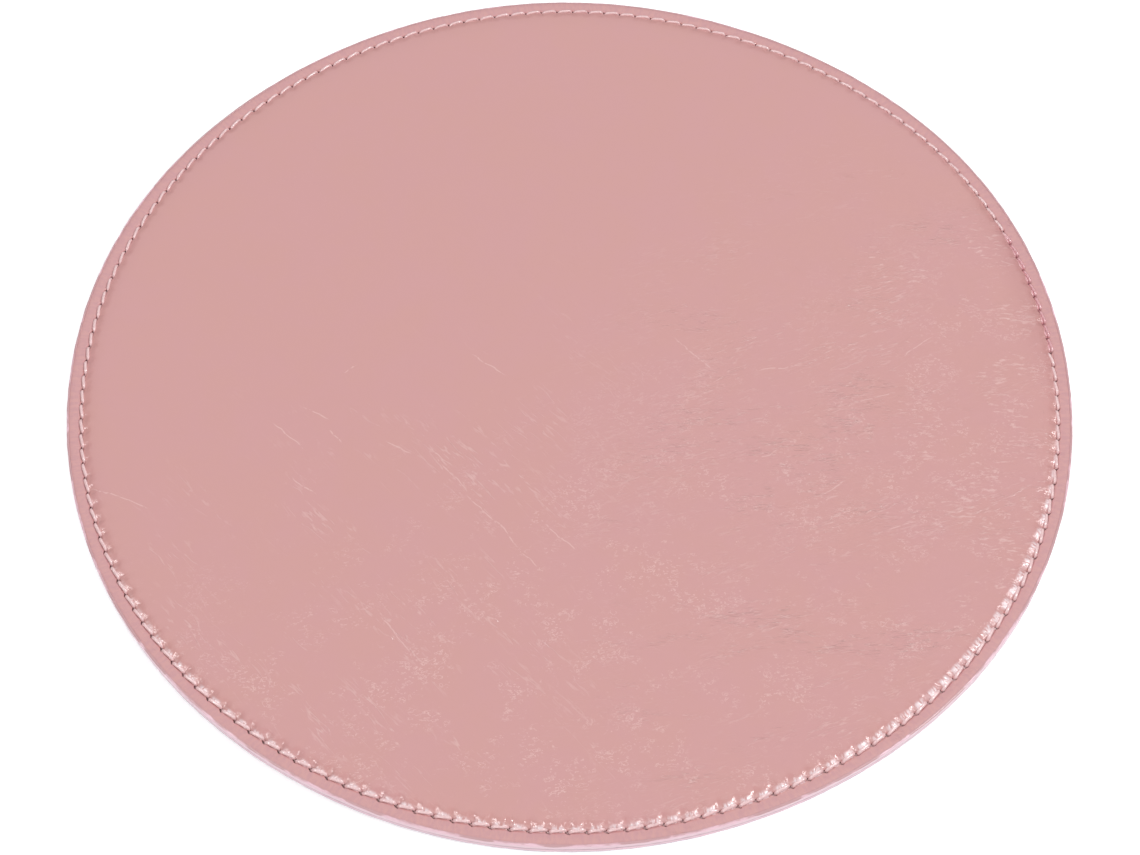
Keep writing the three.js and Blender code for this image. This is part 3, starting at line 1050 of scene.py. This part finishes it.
paint_profile = []
paint_rings = rings(paint_low.z, base_high.z, PAINT_BASE_RINGS)
for height in paint_rings + rings(base_high.z, rim_height, PAINT_COVER_RINGS):
    from_end = min(height - paint_low.z, rim_height - height)
    rounding = 1 - math.sqrt(max(0, 1 - (1 - min(from_end / PAINT_ROUND, 1)) ** 2))
    sunk = PLY_LINE_DEPTH * bell(height - base_high.z, PLY_LINE_WIDTH)
    paint_profile.append((pad_radius - PAINT_ROUND * rounding - sunk, height))
paint_profile += [
    (ply_radius - 0.5 * PAINT_LIP, rim_height + PAINT_FILM),
    (ply_radius - PAINT_LIP, rim_height - PAINT_LIP_DEPTH),
    (ply_radius - PAINT_BITE, rim_height - PAINT_BITE_DEPTH),
    (ply_radius - PAINT_BITE, paint_low.z + PAINT_BITE),
]

bm = turned(paint_profile, PAINT_COLUMNS, closed=True)
for vert in bm.verts:
    radius = math.hypot(vert.co.x, vert.co.y)
    if radius > ply_radius + PAINT_BITE:
        place = Vector((vert.co.x, vert.co.y, PAINT_RUN_FLATNESS * vert.co.z))
        run = noise.noise(place / PAINT_WAVE_LENGTH)
        run += PAINT_RIPPLE_SHARE * noise.noise(place / PAINT_RIPPLE_LENGTH)
        grown = 1 + PAINT_WAVE * (run - PAINT_WAVE_SINK) / radius
        vert.co.x *= grown
        vert.co.y *= grown
follow_cut(bm)
new_piece("painted_rim", bm, paint_finish.material, "edge_paint", "edge_paint")

# Floor and light: a plain white floor under two small bright softboxes overhead, the stronger one
# on the right, and two large weak ones, in front and where the field mirrors it to the camera. To
# the camera floor and room are white, and the floor keeps the pad's shadow.
FLOOR_REACH = 3.0
FLOOR_SIDES = 96
FLOOR_COLOUR = (0.86, 0.86, 0.86, 1)
FLOOR_LIFT = 0.45
ROOM_LIGHT = 0.24
LAMP_DISTANCE = 2.4
LAMPS = (
    ("right_softbox", (0.64, -0.12, 0.76), 0.30, 23.0),
    ("left_softbox", (-0.58, -0.23, 0.78), 0.24, 12.5),
    ("front_softbox", (-0.10, -0.82, 0.56), 2.0, 12.0),
    ("back_softbox", (0, 0.54, 0.84), 2.6, 15.0),
)

floor_bm = bmesh.new()
bmesh.ops.create_circle(floor_bm, cap_ends=True, segments=FLOOR_SIDES, radius=FLOOR_REACH)
floor_mesh = bpy.data.meshes.new("floor")
floor_bm.to_mesh(floor_mesh)
floor_bm.free()
floor_finish = Finish("floor_white", roughness=1.0, specular=0.0, emission_color=(1, 1, 1, 1))
floor_finish.colour(FLOOR_COLOUR)
light_path = floor_finish.tree.nodes.new("ShaderNodeLightPath")
seen_floor = floor_finish.greatest(
    light_path.outputs["Is Camera Ray"],
    light_path.outputs["Is Glossy Ray"],
    light_path.outputs["Is Transmission Ray"],
)
floor_finish.link(
    floor_finish.product(seen_floor, FLOOR_LIFT),
    floor_finish.shader.inputs["Emission Strength"],
)
floor_mesh.materials.append(floor_finish.material)
floor = bpy.data.objects.new("floor", floor_mesh)
bpy.context.scene.collection.objects.link(floor)

for lamp_name, direction, size, watts in LAMPS:
    lamp_data = bpy.data.lights.new(lamp_name, "AREA")
    lamp_data.shape = "SQUARE"
    lamp_data.size = size
    lamp_data.energy = watts
    lamp = bpy.data.objects.new(lamp_name, lamp_data)
    lamp.location = Vector(direction).normalized() * LAMP_DISTANCE
    lamp.rotation_mode = "QUATERNION"
    lamp.rotation_quaternion = (-lamp.location).to_track_quat("-Z", "Y")
    bpy.context.scene.collection.objects.link(lamp)

world = bpy.data.worlds.new("studio")
world.use_nodes = True
backdrop = world.node_tree.nodes["Background"]
backdrop.inputs["Color"].default_value = (1, 1, 1, 1)
seen_room = world.node_tree.nodes.new("ShaderNodeMapRange")
seen_room.inputs["To Min"].default_value = ROOM_LIGHT
seen_room.inputs["To Max"].default_value = 1
room_path = world.node_tree.nodes.new("ShaderNodeLightPath")
world.node_tree.links.new(room_path.outputs["Is Camera Ray"], seen_room.inputs["Value"])
world.node_tree.links.new(seen_room.outputs["Result"], backdrop.inputs["Strength"])
bpy.context.scene.world = world
bpy.context.scene.view_settings.view_transform = "Standard"
